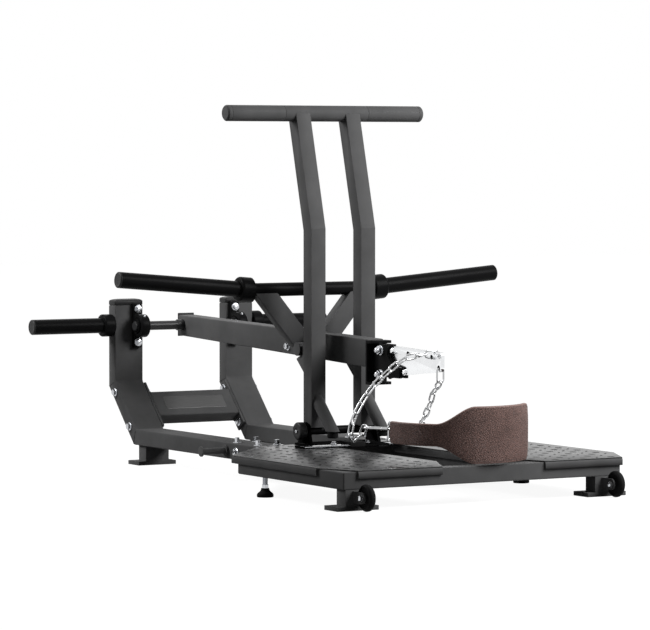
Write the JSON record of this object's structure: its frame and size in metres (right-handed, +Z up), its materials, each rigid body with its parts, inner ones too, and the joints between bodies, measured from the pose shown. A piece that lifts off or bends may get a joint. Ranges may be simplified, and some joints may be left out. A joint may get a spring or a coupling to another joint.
{
  "type": "belt squat machine",
  "caption": "Plate loaded belt squat machine: a pivoting lever arm with weight horns, a release handle with hooks, and a hip belt on chains over a split foot platform.",
  "frame": {"origin": "on the floor, under the middle of the bounding box", "axes": "+X to the right seen from the front, +Y from the belt and platform to the pivot at the rear, +Z up"},
  "size_m": [1.3724, 1.9874, 1.1664],
  "materials": {
    "charcoal_paint": "satin dark grey powder coat",
    "black_paint": "satin black powder coat",
    "tread_coating": "semi-gloss black with a raised tread",
    "black_rubber": "matt",
    "black_plastic": "fine grain",
    "zinc_steel": "bright zinc",
    "bright_chrome": "polished chrome",
    "brown_leather": "grained dark brown"
  },
  "bodies": {
    "base": {"platform_frame": "charcoal_paint", "left_tread_plate": "tread_coating", "right_tread_plate": "tread_coating", "left_front_foot": "charcoal_paint", "right_front_foot": "charcoal_paint", "left_rear_foot": "charcoal_paint", "right_rear_foot": "charcoal_paint", "left_side_frame": "charcoal_paint", "right_side_frame": "charcoal_paint", "left_upright_cap": "black_plastic", "right_upright_cap": "black_plastic", "rear_crossmember": "charcoal_paint", "left_band_peg": "charcoal_paint", "right_band_peg": "charcoal_paint", "left_storage_horn": "black_paint", "right_storage_horn": "black_paint", "left_storage_cap": "black_plastic", "right_storage_cap": "black_plastic", "left_bearing": "black_paint", "right_bearing": "black_paint", "handle_base": "charcoal_paint", "arm_stop_pad": "black_rubber"},
    "handle": {"handle_bar": "charcoal_paint", "left_grip": "black_rubber", "right_grip": "black_rubber", "left_post": "charcoal_paint", "right_post": "charcoal_paint", "handle_pivot_tube": "black_paint", "left_pivot_disc": "black_plastic", "right_pivot_disc": "black_plastic", "left_stop_strut": "charcoal_paint", "right_stop_strut": "charcoal_paint", "left_bumper": "black_rubber", "right_bumper": "black_rubber", "left_hook_plate": "charcoal_paint", "right_hook_plate": "charcoal_paint"},
    "arm": {"lever_arm": "charcoal_paint", "arm_rear_cap": "black_plastic", "pivot_shaft": "black_paint", "cross_tube": "black_paint", "left_arm_strut": "charcoal_paint", "right_arm_strut": "charcoal_paint", "left_weight_horn": "black_paint", "right_weight_horn": "black_paint", "left_horn_cap": "black_plastic", "right_horn_cap": "black_plastic", "catch_pin": "black_paint", "arm_end_bracket": "black_paint", "tongue": "bright_chrome", "left_chain": "bright_chrome", "right_chain": "bright_chrome", "left_snap_hook": "bright_chrome", "right_snap_hook": "bright_chrome", "belt_left_ring": "bright_chrome", "belt_right_ring": "bright_chrome", "belt": "brown_leather"},
    "left_wheel": {"left_wheel": "black_rubber"},
    "right_wheel": {"right_wheel": "black_rubber"},
    "left_leveller": {"left_leveller": "black_rubber"},
    "right_leveller": {"right_leveller": "black_rubber"}
  },
  "joints": [
    {"name": "lever_hinge", "type": "hinge", "parent": "base", "child": "arm", "pos_m": [0, 0.89095, 0.448], "axis": [1, 0, 0], "range_deg": [-20, 0]},
    {"name": "handle_release", "type": "hinge", "parent": "base", "child": "handle", "pos_m": [0, -0.07875, 0.161], "axis": [1, 0, 0], "range_deg": [0, 11.2]},
    {"name": "left_wheel_spin", "type": "hinge", "parent": "base", "child": "left_wheel", "pos_m": [-0.431, -0.95475, 0.04], "axis": [1, 0, 0], "continuous": true},
    {"name": "right_wheel_spin", "type": "hinge", "parent": "base", "child": "right_wheel", "pos_m": [0.431, -0.95475, 0.04], "axis": [1, 0, 0], "continuous": true},
    {"name": "left_leveller_screw", "type": "slide", "parent": "base", "child": "left_leveller", "axis": [0, 0, 1], "range_m": [0, 0.012]},
    {"name": "right_leveller_screw", "type": "slide", "parent": "base", "child": "right_leveller", "axis": [0, 0, 1], "range_m": [0, 0.012]}
  ]
}
